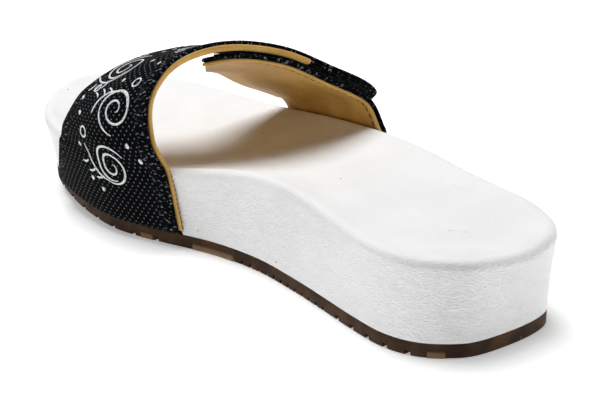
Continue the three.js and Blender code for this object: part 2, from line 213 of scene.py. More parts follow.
def to_object(bm: bmesh.types.BMesh, name: str) -> bpy.types.Object:
    """A new object made of the mesh in hand, which is freed."""
    mesh = bpy.data.meshes.new(name)
    bm.to_mesh(mesh)
    bm.free()
    return link_object(name, mesh)


def finish_mesh(bm: bmesh.types.BMesh, name: str, weld: float = 2e-6) -> bpy.types.Object:
    """Welds a mesh, closes it, turns its faces out and links it as a smooth object.

    Args:
        bm: Mesh to finish, freed afterwards.
        name: The piece's name.
        weld: Vertices closer than this, in metres, become one.

    Returns:
        The new object, at the origin.
    """
    bmesh.ops.remove_doubles(bm, verts=bm.verts, dist=weld)
    bmesh.ops.dissolve_degenerate(bm, dist=weld / 2, edges=bm.edges)
    open_edges = [edge for edge in bm.edges if edge.is_boundary]
    if open_edges:
        bmesh.ops.holes_fill(bm, edges=open_edges)
    bmesh.ops.recalc_face_normals(bm, faces=bm.faces)
    for face in bm.faces:
        face.smooth = True
    return to_object(bm, name)


def srgb(code: str) -> tuple[float, float, float, float]:
    """Linear colour of an sRGB hex value such as #d9a95f."""
    parts = [int(code[at : at + 2], 16) / 255.0 for at in (1, 3, 5)]
    linear = [p / 12.92 if p <= 0.04045 else ((p + 0.055) / 1.055) ** 2.4 for p in parts]
    return (linear[0], linear[1], linear[2], 1.0)


def per_metre(size_mm: float) -> float:
    """Scale of a pattern on Object coordinates whose features are size_mm apart."""
    return 1.0 / (size_mm * MM)


def add_node(
    tree: bpy.types.NodeTree, kind: str, inputs: dict | None = None, **settings: object
) -> bpy.types.Node:
    """Adds a shader node with its settings, values and links.

    Args:
        tree: Node tree to add to.
        kind: Node type without its ShaderNode prefix.
        inputs: Value or socket for each input, by name or number.
        settings: The node's own properties.

    Returns:
        The new node.
    """
    made = tree.nodes.new("ShaderNode" + kind)
    for key, value in settings.items():
        setattr(made, key, value)
    for key, value in (inputs or {}).items():
        if isinstance(value, Socket):
            tree.links.new(value, made.inputs[key])
        else:
            made.inputs[key].default_value = value
    return made


@dataclass(frozen=True)
class Paint:
    """One material's shader tree, with short calls for the nodes that the finishes share."""

    tree: bpy.types.NodeTree
    shader: bpy.types.Node

    def add(self, kind: str, inputs: dict | None = None, **settings: object) -> bpy.types.Node:
        """Adds a node to the tree."""
        return add_node(self.tree, kind, inputs, **settings)

    def place(self) -> Socket:
        """Object coordinates."""
        return self.add("TexCoord").outputs["Object"]

    def turned(self, place: Socket, degrees: float, scale: tuple = (1.0, 1.0, 1.0)) -> Socket:
        """Coordinates turned about the upright axis and scaled."""
        turn = (0.0, 0.0, math.radians(degrees))
        return self.add("Mapping", {"Vector": place, "Rotation": turn, "Scale": scale}).outputs[0]

    def noise(
        self, place: Socket, scale: float, detail: float = 2.0, roughness: float = 0.5,
        output: str = "Fac",
    ) -> Socket:
        """Cloudy noise, as a value from 0 to 1 or as a colour."""
        inputs = {"Vector": place, "Scale": scale, "Detail": detail, "Roughness": roughness}
        return self.add("TexNoise", inputs).outputs[output]

    def cells(
        self, place: Socket, scale: float, randomness: float = 1.0, **settings: object
    ) -> Socket:
        """Distance from the middles, or the edges, of scattered cells."""
        inputs = {"Vector": place, "Scale": scale, "Randomness": randomness}
        return self.add("TexVoronoi", inputs, **settings).outputs["Distance"]

    def ramp(
        self, value: Socket, low: float, high: float, start: float = 0.0, end: float = 1.0
    ) -> Socket:
        """Value mapped from low..high to start..end, held at both ends."""
        inputs = {0: value, 1: low, 2: high, 3: start, 4: end}
        return self.add("MapRange", inputs, interpolation_type="SMOOTHSTEP").outputs[0]

    def mix(self, share: Socket, first: object, second: object) -> Socket:
        """Colour between first and second, each a colour or a socket."""
        return self.add("Mix", {0: share, 6: first, 7: second}, data_type="RGBA").outputs[2]

    def math(self, operation: str, first: object, second: object = 0.0) -> Socket:
        """Result of a Math node on two values or sockets."""
        return self.add("Math", {0: first, 1: second}, operation=operation).outputs[0]


@dataclass(frozen=True)
class Finish:
    """A finish of one real material: its name and the constants of its shader."""

    name: str
    roughness: float = 0.5
    ior: float = 1.5
    sheen: float = 0.0
    sheen_roughness: float = 0.45
    coat: float = 0.0
    coat_roughness: float = 0.35
    specular: float = 0.5
    bump: float = 0.3
    bump_mm: float = 0.2

    def make(self) -> bpy.types.Material:
        """The material, with the finish's own colour and relief."""
        material = bpy.data.materials.new(self.name)
        material.use_nodes = True
        tree = material.node_tree
        tree.nodes.clear()
        shader = add_node(
            tree,
            "BsdfPrincipled",
            {
                "Roughness": self.roughness,
                "IOR": self.ior,
                "Sheen Weight": self.sheen,
                "Sheen Roughness": self.sheen_roughness,
                "Coat Weight": self.coat,
                "Coat Roughness": self.coat_roughness,
                "Specular IOR Level": self.specular,
            },
        )
        add_node(tree, "OutputMaterial", {"Surface": shader.outputs["BSDF"]})
        colour, height = self.dress(Paint(tree, shader))
        tree.links.new(colour, shader.inputs["Base Color"])
        if height is not None:
            relief = {"Strength": self.bump, "Distance": self.bump_mm * MM, "Height": height}
            bump = add_node(tree, "Bump", relief)
            tree.links.new(bump.outputs[0], shader.inputs["Normal"])
        return material

    def dress(self, paint: Paint) -> tuple[Socket, Socket | None]:
        """Adds the finish's pattern.

        Args:
            paint: The material's tree.

        Returns:
            The colour, and the height of the relief where there is one.
        """
        raise NotImplementedError


@dataclass(frozen=True)
class CoatedFoam(Finish):
    """Moulded EVA with a soft matt leather-grain skin: white, with fine creases that catch the light."""

    name: str = "coated_eva_footbed"
    specular: float = 0.35
    bump: float = 0.6
    bump_mm: float = 0.3
    white: str = "#f7f7f7"
    shade: str = "#f2f2f2"
    speck: str = "#5a544c"
    wander_mm: float = 6.0
    wander: float = 0.0028
    crease_mm: float = 2.0
    crease_squash: float = 2.1
    grain_mm: float = 0.7
    grain_height: float = 0.7
    top_relief: float = 0.45
    patch_mm: float = 28.0
    speck_mm: float = 15.0

    def dress(self, paint: Paint) -> tuple[Socket, Socket]:
        """Adds the grain, stronger on the walls than on top, and a few dark specks."""
        place = paint.place()
        normal = paint.add("NewGeometry").outputs["Normal"]
        upright = paint.add("SeparateXYZ", {0: normal}).outputs["Z"]
        wall = paint.ramp(upright, 0.3, 0.8, 1.0, self.top_relief)
        drift = paint.noise(place, per_metre(self.wander_mm), output="Color")
        wander = {"Fac": self.wander, "Color1": place, "Color2": drift}
        bent = paint.add("MixRGB", wander, blend_type="ADD").outputs[0]
        long = paint.turned(bent, 0.0, (1.0, 1.0, self.crease_squash))
        crease = paint.cells(long, per_metre(self.crease_mm), feature="DISTANCE_TO_EDGE")
        grain = paint.noise(long, per_metre(self.grain_mm), 3.0)
        fine = paint.math("MULTIPLY", grain, self.grain_height)
        height = paint.math("ADD", paint.ramp(crease, 0.0, 0.32), fine)
        tone = paint.ramp(paint.noise(place, per_metre(self.patch_mm)), 0.35, 0.65)
        colour = paint.mix(tone, srgb(self.white), srgb(self.shade))
        spots = paint.cells(place, per_metre(self.speck_mm))
        dark = paint.ramp(spots, 0.014, 0.028, 1.0, 0.0)
        return paint.mix(dark, colour, srgb(self.speck)), paint.math("MULTIPLY", height, wall)


@dataclass(frozen=True)
class GumRubber(Finish):
    """Moulded gum rubber: deep brown, satin, with a faint dusty mottling and worn pale edges."""

    name: str = "gum_rubber_outsole"
    roughness: float = 0.65
    specular: float = 0.2
    body: str = "#33200f"
    light: str = "#4f361e"
    worn: str = "#7a6350"
    wear: float = 0.5
    mottle_mm: float = 9.0
    grit_mm: float = 0.9

    def dress(self, paint: Paint) -> tuple[Socket, Socket]:
        """Adds mottled brown, pale edges and a fine gritty relief."""
        place = paint.place()
        cloud = paint.noise(place, per_metre(self.mottle_mm), 3.0)
        colour = paint.mix(paint.ramp(cloud, 0.35, 0.7), srgb(self.body), srgb(self.light))
        edge = paint.ramp(paint.add("NewGeometry").outputs["Pointiness"], 0.52, 0.6)
        colour = paint.mix(paint.math("MULTIPLY", edge, self.wear), colour, srgb(self.worn))
        return colour, paint.noise(place, per_metre(self.grit_mm))


@dataclass(frozen=True)
class AmberRubber(Finish):
    """Clear amber gum in the thin lugs, where light comes through: honey brown and glossier."""

    name: str = "amber_gum_lug"
    roughness: float = 0.35
    body: str = "#8f6c38"
    deep: str = "#5f4524"
    deep_from_mm: float = 3.4
    cloud_mm: float = 2.5
    cloud_share: float = 0.3

    def dress(self, paint: Paint) -> tuple[Socket, None]:
        """Adds honey colour that deepens upwards into the sole."""
        place = paint.place()
        high = paint.add("SeparateXYZ", {0: place}).outputs["Z"]
        cloud = paint.noise(place, per_metre(self.cloud_mm))
        cloud = paint.math("MULTIPLY", cloud, self.cloud_share)
        share = paint.math("ADD", paint.ramp(high, 0.0, self.deep_from_mm * MM), cloud)
        return paint.mix(share, srgb(self.body), srgb(self.deep)), None


@dataclass(frozen=True)
class PinDotCloth(Finish):
    """Black woven stretch cloth with a raised pale pin dot; at its edges the weave opens to flecks."""

    name: str = "pin_dot_cloth"
    roughness: float = 0.9
    specular: float = 0.05
    sheen: float = 0.01
    bump: float = 0.45
    bump_mm: float = 0.25
    black: str = "#010203"
    thread: str = "#05070a"
    dot: str = "#6f7276"
    fleck: str = "#85888d"
    dot_pitch_mm: float = 2.1
    dot_radius_mm: float = 0.33
    dot_turn: float = 41.0
    fade_per_mm: float = 0.28
    thread_mm: float = 0.8
    fleck_turn: float = 38.0
    fleck_stretch: float = 0.45
    fleck_per_mm: float = 1.15
    fleck_from_mm: float = 5.0
    fleck_to_mm: float = 9.0

    def dress(self, paint: Paint) -> tuple[Socket, Socket]:
        """Adds the weave, the dots and the flecks along the edges."""
        cloth = paint.add("UVMap", uv_map="cloth").outputs["UV"]
        edge = paint.add("Attribute", attribute_name="edge_mm").outputs["Fac"]
        turned = paint.turned(cloth, self.dot_turn)
        radius = self.dot_radius_mm / self.dot_pitch_mm
        dots = paint.cells(turned, 1.0 / self.dot_pitch_mm, 0.1, voronoi_dimensions="2D")
        dot = paint.ramp(dots, radius * 0.75, radius * 1.25, 1.0, 0.0)
        fade = paint.ramp(paint.noise(cloth, self.fade_per_mm, 1.0), 0.2, 0.6, 0.55, 1.0)
        dot = paint.math("MULTIPLY", dot, fade)
        slant = paint.turned(cloth, self.fleck_turn, (1.0, self.fleck_stretch, 1.0))
        fleck = paint.ramp(paint.noise(slant, self.fleck_per_mm, roughness=0.6), 0.57, 0.68)
        near = paint.ramp(edge, self.fleck_from_mm, self.fleck_to_mm, 1.0, 0.0)
        far = paint.math("SUBTRACT", 1.0, near)
        threads = paint.cells(turned, 1.0 / self.thread_mm, 0.35, voronoi_dimensions="2D")
        colour = paint.mix(paint.ramp(threads, 0.1, 0.6), srgb(self.thread), srgb(self.black))
        colour = paint.mix(paint.math("MULTIPLY", dot, far), colour, srgb(self.dot))
        colour = paint.mix(paint.math("MULTIPLY", fleck, near), colour, srgb(self.fleck))
        return colour, paint.math("SUBTRACT", paint.math("ADD", dot, fleck), threads)


@dataclass(frozen=True)
class TanLining(Finish):
    """Smooth synthetic nubuck lining, skived thin and glued: warm tan, satin, with a suede grain."""

    name: str = "tan_nubuck_lining"
    specular: float = 0.35
    tan: str = "#d9ad5f"
    brown: str = "#c4974a"
    grain_mm: float = 0.9
    cloud_mm: float = 14.0

    def dress(self, paint: Paint) -> tuple[Socket, Socket]:
        """Adds tan that clouds softly and a fine suede grain."""
        place = paint.place()
        tone = paint.ramp(paint.noise(place, per_metre(self.cloud_mm), 3.0), 0.35, 0.7)
        grain = paint.noise(place, per_metre(self.grain_mm), 3.0)
        return paint.mix(tone, srgb(self.tan), srgb(self.brown)), grain


@dataclass(frozen=True)
class SewingThread(Finish):
    """Bonded polyester sewing thread: twisted, slightly shiny."""

    name: str = "sewing_thread"
    colour: str = "#5f4020"
    twist_mm: float = 0.6
    twist_shade: float = 0.55

    def dress(self, paint: Paint) -> tuple[Socket, None]:
        """Adds the thread's colour with the shade of its twist."""
        twist = paint.noise(paint.place(), per_metre(self.twist_mm))
        dark = tuple(self.twist_shade * part for part in srgb(self.colour)[:3]) + (1.0,)
        return paint.mix(paint.ramp(twist, 0.4, 0.6), srgb(self.colour), dark), None


@dataclass(frozen=True)
class PrintInk(Finish):
    """Screen-printed plastisol ink: opaque off-white, matt, broken slightly by the weave under it."""

    name: str = "white_print_ink"
    roughness: float = 0.6
    bump_mm: float = 0.1
    white: str = "#e9ebec"
    thin: str = "#aeb1b5"
    thread_mm: float = 1.1

    def dress(self, paint: Paint) -> tuple[Socket, Socket]:
        """Adds off-white ink that thins over the threads."""
        thread = paint.noise(paint.place(), per_metre(self.thread_mm))
        return paint.mix(paint.ramp(thread, 0.5, 0.68), srgb(self.white), srgb(self.thin)), thread


@dataclass(frozen=True)
class FasteningTape(Finish):
    """Woven nylon fastening tape: black, with a dense pile of hooks or loops about a millimetre apart."""

    name: str = "fastening_tape"
    roughness: float = 0.8
    sheen: float = 0.2
    bump: float = 0.6
    bump_mm: float = 0.4
    black: str = "#0c0c0d"
    pile: str = "#2a2a2c"
    pile_mm: float = 1.0

    def dress(self, paint: Paint) -> tuple[Socket, Socket]:
        """Adds the pile as small raised cells."""
        cells = paint.cells(paint.place(), per_metre(self.pile_mm))
        height = paint.ramp(cells, 0.1, 0.5, 1.0, 0.0)
        return paint.mix(height, srgb(self.black), srgb(self.pile)), height


@dataclass(frozen=True)
class StudioPaper(Finish):
    """White seamless paper, matt and clean, lit a little from behind as on a light table."""

    name: str = "studio_paper"
    roughness: float = 0.9
    specular: float = 0.1
    white: str = "#ffffff"
    glow: float = 0.35

    def dress(self, paint: Paint) -> tuple[Socket, None]:
        """Adds plain white and its glow."""
        white = paint.add("RGB")
        white.outputs[0].default_value = srgb(self.white)
        paint.shader.inputs["Emission Color"].default_value = srgb(self.white)
        paint.shader.inputs["Emission Strength"].default_value = self.glow
        return white.outputs[0], None


@dataclass
class SoleShape:
    """The sole's own outline and heights, in millimetres from the heel."""

    length: float = 263.0
    ball_width: float = 98.0
    heel_height: float = 33.0
    toe_spring: float = 12.0
    outsole: float = 5.5
    heel_flare: float = 2.4
    toe_flare: float = 4.8
    rim_radius: float = 3.0
    dish: float = 5.5
    spring_start: float = 0.58
    flare_start: float = 0.555
    spine_heel: float = 0.13
    spine_toe: float = 0.87
    slope_step: float = 1e-4
    table_rows: int = 4001
    rim_points: np.ndarray = field(init=False)
    side_tables: dict = field(init=False)

    def __post_init__(self) -> None:
        """Lays out the rim and the tables that find a place along each side."""
        last = len(STATIONS) - 1
        rows = list(range(last + 1)) + list(range(last - 1, 0, -1))
        points = []
        for at, row in enumerate(rows):
            outer = at > last
            inner_x, outer_x, inner_rim, outer_rim = STATIONS[row]
            across = outer_x if outer else inner_x
            rim = outer_rim if outer else inner_rim
            along = self.length * (1.0 - math.cos(math.pi * row / last)) / 2.0
            points.append((across * self.ball_width, along, rim * self.heel_height))
        self.rim_points = np.array(points)
        share = np.linspace(0.0, 0.5, self.table_rows)
        self.side_tables = {
            Side.INNER: (self.corner(share)[:, 1], share),
            Side.OUTER: (self.corner(1.0 - share)[:, 1], 1.0 - share),
        }

    def corner(self, share: np.ndarray) -> np.ndarray:
        """Rim corners at shares of the way round from the heel along the inner side."""
        place = (np.asarray(share, float) % 1.0) * len(self.rim_points)
        return catmull(self.rim_points, place, closed=True)

    def outward(self, share: np.ndarray) -> np.ndarray:
        """Level directions out of the sole at shares of the way round."""
        run = self.corner(share + self.slope_step) - self.corner(share - self.slope_step)
        flat = np.stack([-run[:, 1], run[:, 0], np.zeros(len(run))], axis=-1)
        return unit(flat)

    def share_at(self, side: Side, along: np.ndarray) -> np.ndarray:
        """Shares of the way round at places along one side."""
        table, shares = self.side_tables[side]
        return np.interp(along, table, shares)

    def ground(self, along: np.ndarray) -> np.ndarray:
        """Height of the underside at places along the sole."""
        start = self.spring_start * self.length
        share = np.clip((along - start) / (self.length - start), 0.0, None)
        return self.toe_spring * share * share

    def flare(self, along: np.ndarray) -> np.ndarray:
        """How far the rim stands out past the bottom edge."""
        start = self.flare_start * self.length
        share = np.clip((along - start) / (self.length - start), 0.0, 1.0)
        return self.heel_flare + (self.toe_flare - self.heel_flare) * share * share

    def edge(self, corner: np.ndarray, outward: np.ndarray) -> np.ndarray:
        """Ground points below the bottom edge."""
        point = corner - outward * self.flare(corner[:, 1])[:, None]
        point[:, 2] = self.ground(point[:, 1])
        return point

    def rim(self, share: np.ndarray) -> tuple[np.ndarray, np.ndarray, np.ndarray]:
        """Rim corners, directions out of the sole and ground points below, at shares of the way."""
        corner = self.corner(share)
        outward = self.outward(share)
        return corner, outward, self.edge(corner, outward)

    def level(self, points: np.ndarray, height: float | np.ndarray) -> np.ndarray:
        """The same points at a height above the ground below them."""
        return np.column_stack([points[:, :2], self.ground(points[:, 1]) + height])

    def wall(
        self, corner: np.ndarray, outward: np.ndarray, share: np.ndarray, lift: float
    ) -> np.ndarray:
        """Points on the side wall.

        Args:
            corner: Rim corners.
            outward: Directions out of the sole.
            share: Shares from the bottom edge to the start of the rim.
            lift: Height of the bottom edge above the ground.

        Returns:
            One point for each corner.
        """
        foot = self.edge(corner, outward)
        foot[:, 2] += lift
        head = corner.copy()
        head[:, 2] -= self.rim_radius
        return lerp(foot, head, np.broadcast_to(share, len(corner))[:, None])

    def floor(self, along: np.ndarray) -> np.ndarray:
        """Height of the dished top on the spine."""
        inner = self.corner(self.share_at(Side.INNER, along))[:, 2]
        outer = self.corner(self.share_at(Side.OUTER, along))[:, 2]
        return (inner + outer) / 2.0 - self.dish

    def spine(self, share: np.ndarray) -> np.ndarray:
        """Points on the spine that the rings of the sole fold onto."""
        corner = self.corner(share)
        twin = self.corner(-share)
        along = (corner[:, 1] + twin[:, 1]) / 2.0 / self.length
        place = self.length * lerp(self.spine_heel, self.spine_toe, along)
        return np.stack([(corner[:, 0] + twin[:, 0]) / 2.0, place, self.floor(place)], axis=-1)


@dataclass
class StrapShape:
    """One strap's sizes: shares of the sole's length, of the section and of the strap's width."""

    side: Side
    rear: float
    front: float
    tip_rear: float
    tip_front: float
    rear_at_rim: float
    front_at_rim: float
    front_at_tip: float
    shift_start: float
    shift_end: float
    rear_spread: float
    front_spread: float


MEDIAL = StrapShape(
    side=Side.INNER, rear=0.5555, front=0.79, tip_rear=0.93, tip_front=0.895, rear_at_rim=0.0,
    front_at_rim=1.02, front_at_tip=0.74, shift_start=0.45, shift_end=1.0, rear_spread=-0.008,
    front_spread=0.035,
)
LATERAL = StrapShape(
    side=Side.OUTER, rear=0.4405, front=0.714, tip_rear=0.465, tip_front=0.545, rear_at_rim=0.045,
    front_at_rim=0.91, front_at_tip=1.02, shift_start=0.0, shift_end=0.7, rear_spread=-0.012,
    front_spread=0.025,
)


@dataclass
class StrapSurface:
    """The surface that a strap's layers lie on: along from its lasting edge, across from rear to front."""

    sole: SoleShape
    strap: StrapShape
    rear_height: float = 78.0
    front_height: float = 65.0
    thickness: float = 3.0
    lasting: float = 9.0
    gap: float = 0.3
    layer: float = 0.9
    tip_rounding: float = 14.0
    front_hang: float = 3.0
    rear_lean: float = 0.316
    front_lean: float = -0.192
    front_bear: float = 0.257
    bear_fade: tuple[float, float] = (0.5, 0.85)
    hang_width: tuple[float, float] = (0.42, 0.85)
    hang_travel: float = 0.3
    tip_reach: float = 0.6
    wall_rises: tuple[float, float] = (0.45, 0.85)
    slope_step: float = 0.004
    corner_steps: int = 3
    steps: int = 26
    columns: int = 161
    fine_step: float = 0.4
    fine_rows: int = 20
    outside: np.ndarray = field(init=False)
    foot: np.ndarray = field(init=False)
    length: float = field(init=False)
    rim_along: float = field(init=False)
    width: np.ndarray = field(init=False)

    def __post_init__(self) -> None:
        """Lays the fine outside and foot faces along the strap's path."""
        across = np.linspace(0.0, 1.0, self.columns)
        outside = np.stack(self.rows(across, 0.0))
        foot = np.stack(self.rows(across, self.thickness))
        last = len(outside) - 1
        place = np.linspace(0.0, last, last * self.fine_rows + 1)
        middle = catmull(outside, place, closed=False)[:, self.columns // 2]
        run = np.concatenate([[0.0], np.cumsum(np.linalg.norm(np.diff(middle, axis=0), axis=1))])
        self.length = float(run[-1])
        even = np.linspace(0.0, self.length, int(self.length / self.fine_step) + 1)
        rows = np.interp(even, run, place)
        self.outside = catmull(outside, rows, closed=False)
        self.foot = catmull(foot, rows, closed=False)
        rim_row = self.corner_steps + len(self.wall_rises) + 2
        self.rim_along = float(np.interp(rim_row, place, run))
        self.width = np.linalg.norm(np.diff(self.outside, axis=1), axis=2).sum(axis=1)

    def foot_place(self, across: np.ndarray) -> tuple[np.ndarray, np.ndarray]:
        """Places along the rim and along the sole of the strap's columns."""
        width = lerp(self.strap.rear_at_rim, self.strap.front_at_rim, across)
        rim = lerp(self.strap.rear, self.strap.front, width)
        spread = lerp(self.strap.rear_spread, self.strap.front_spread, across)
        return rim * self.sole.length, (rim + spread) * self.sole.length

    def recess(self, along: np.ndarray) -> tuple[np.ndarray, np.ndarray, np.ndarray]:
        """Corner of the footbed's recess, the way out of it and its share of the wall."""
        lift = self.sole.outsole + self.gap
        roof = self.sole.outsole + self.thickness + 2.0 * self.gap
        corner, outward, _ = self.sole.rim(self.sole.share_at(self.strap.side, along))
        low = self.sole.wall(corner, outward, 0.0, lift)
        high = self.sole.wall(corner, outward, 1.0, lift)
        rise = (self.sole.ground(low[:, 1]) + roof - low[:, 2]) / (high[:, 2] - low[:, 2])
        return lerp(low, high, rise[:, None]), outward, rise

    def rows(self, across: np.ndarray, below: float) -> list[np.ndarray]:
        """Rows of points from the lasting edge up the wall and over the instep to the tip."""
        rim, sole = self.foot_place(across)
        distance = self.gap + self.thickness - below
        roof = self.sole.outsole + self.thickness + 2.0 * self.gap
        point, outward, share = self.recess(sole)
        inner = self.sole.level(point - outward * self.lasting, roof - distance)
        made = [inner]
        for step in range(self.corner_steps + 1):
            turn = math.pi / 2.0 * step / self.corner_steps
            turned = point + outward * (math.sin(turn) * distance)
            turned[:, 2] -= math.cos(turn) * distance
            made.append(turned)
        for rise in self.wall_rises:
            along = lerp(sole, rim, rise)
            corner, out, _ = self.sole.rim(self.sole.share_at(self.strap.side, along))
            start = self.recess(along)[2]
            wall = self.sole.wall(corner, out, lerp(start, 1.0, rise), self.sole.outsole + self.gap)
            made.append(wall + out * distance)
        inner_side = self.strap.side is Side.INNER
        depth = 0.0 if inner_side else self.thickness + self.gap + 2.0 * self.layer
        start_theta = 0.0 if inner_side else 1.0
        tip = lerp(self.strap.tip_rear, self.strap.tip_front, across)
        for step in range(self.steps + 1):
            travel = step / self.steps
            theta = lerp(start_theta, tip, travel)
            width = self.width_at(travel, across)
            hang = np.zeros_like(width)
            if not inner_side:
                sag = smooth(width, *self.hang_width) * smooth(travel, 0.0, self.hang_travel)
                hang = self.front_hang * sag
            made.append(self.layer_point(theta, width, depth + hang + below))
        return made

    def width_at(self, travel: float, across: np.ndarray) -> np.ndarray:
        """Places across the common surface of the strap's columns at a share of its travel."""
        shift = smooth(travel, self.strap.shift_start, self.strap.shift_end)
        rear = lerp(self.strap.rear_at_rim, 0.0, shift)
        front = lerp(self.strap.front_at_rim, self.strap.front_at_tip, shift)
        girth = self.sole.ball_width + self.rear_height - self.sole.heel_height
        reach = girth * self.tip_reach
        inset = max(0.0, 1.0 - (1.0 - travel) * reach / self.tip_rounding)
        turned = self.tip_rounding * (1.0 - math.sqrt(max(0.0, 1.0 - inset * inset)))
        corner = turned / (self.sole.length * (MEDIAL.front - MEDIAL.rear))
        return lerp(rear + corner, front - corner, across)

    def instep(self, theta: np.ndarray, width: np.ndarray) -> np.ndarray:
        """Points on the common surface over the instep."""
        inner_y = lerp(MEDIAL.rear, MEDIAL.front, width) * self.sole.length
        outer_y = lerp(LATERAL.rear, LATERAL.front, width) * self.sole.length
        inner = self.sole.corner(self.sole.share_at(Side.INNER, inner_y))
        outer = self.sole.corner(self.sole.share_at(Side.OUTER, outer_y))
        step_in = self.thickness + self.gap
        left = inner[:, 0] - step_in
        right = outer[:, 0] + step_in + self.thickness + self.gap + 2.0 * self.layer
        rows = np.array(INSTEP_SECTION)
        section = catmull(rows, theta * (len(rows) - 1), closed=False)
        fade = 1.0 - smooth(theta, *self.bear_fade)
        bear = self.front_bear * np.sin(np.pi * theta) * fade
        share = (section[:, 0] + bear * width + 1.0) / 2.0
        foot = lerp(inner[:, 2], outer[:, 2], share)
        top = lerp(self.rear_height, self.front_height, width)
        rise = (top - foot) * section[:, 1]
        lean = lerp(self.rear_lean, self.front_lean, width)
        along = lerp(inner[:, 1], outer[:, 1], share) + lean * rise
        return np.stack([lerp(left, right, share), along, foot + rise], axis=-1)

    def layer_point(self, theta: np.ndarray, width: np.ndarray, depth: np.ndarray) -> np.ndarray:
        """Points below the common surface, square to it."""
        step = self.slope_step
        low = np.clip(theta, step, 1.0 - step)
        across = self.instep(low + step, width) - self.instep(low - step, width)
        along = self.instep(low, width + step) - self.instep(low, width - step)
        normal = unit(np.cross(across, along))
        return self.instep(theta, width) - normal * np.broadcast_to(depth, len(width))[:, None]

    def at(self, along: np.ndarray, across: np.ndarray, depth: np.ndarray) -> np.ndarray:
        """Points on or below the strap.

        Args:
            along: Millimetres from the lasting edge.
            across: Shares of the width, from rear to front.
            depth: Millimetres below the outside face.

        Returns:
            Points of the same shape as the arguments, with three values each.
        """
        row = np.clip(along / self.length, 0.0, 1.0) * (len(self.outside) - 1)
        column = np.clip(across, 0.0, 1.0) * (self.columns - 1)
        row_low = np.minimum(row.astype(int), len(self.outside) - 2)
        column_low = np.minimum(column.astype(int), self.columns - 2)
        down = (row - row_low)[..., None]
        over = (column - column_low)[..., None]

        def blend(grid: np.ndarray) -> np.ndarray:
            """Value between the four nearest points of a grid."""
            top = lerp(grid[row_low, column_low], grid[row_low, column_low + 1], over)
            low = lerp(grid[row_low + 1, column_low], grid[row_low + 1, column_low + 1], over)
            return lerp(top, low, down)

        return lerp(blend(self.outside), blend(self.foot), (depth / self.thickness)[..., None])

    def width_mm(self, along: np.ndarray) -> np.ndarray:
        """Width of the strap at places along it."""
        place = np.clip(along / self.length, 0.0, 1.0) * (len(self.width) - 1)
        return np.interp(place, np.arange(len(self.width)), self.width)


@dataclass
class Crease:
    """A soft trough or ridge placed on a strap, in millimetres."""

    along: float
    across: float
    half_length: float
    half_width: float
    depth: float
    tilt: float = 0.0

    def relief(self, along: np.ndarray, across: np.ndarray) -> np.ndarray:
        """Height that the crease adds at places on the cloth."""
        turn = math.radians(self.tilt)
        u = (along - self.along) * math.cos(turn) + (across - self.across) * math.sin(turn)
        v = -(along - self.along) * math.sin(turn) + (across - self.across) * math.cos(turn)
        return -self.depth * np.exp(-((u / self.half_width) ** 2) - (v / self.half_length) ** 2)


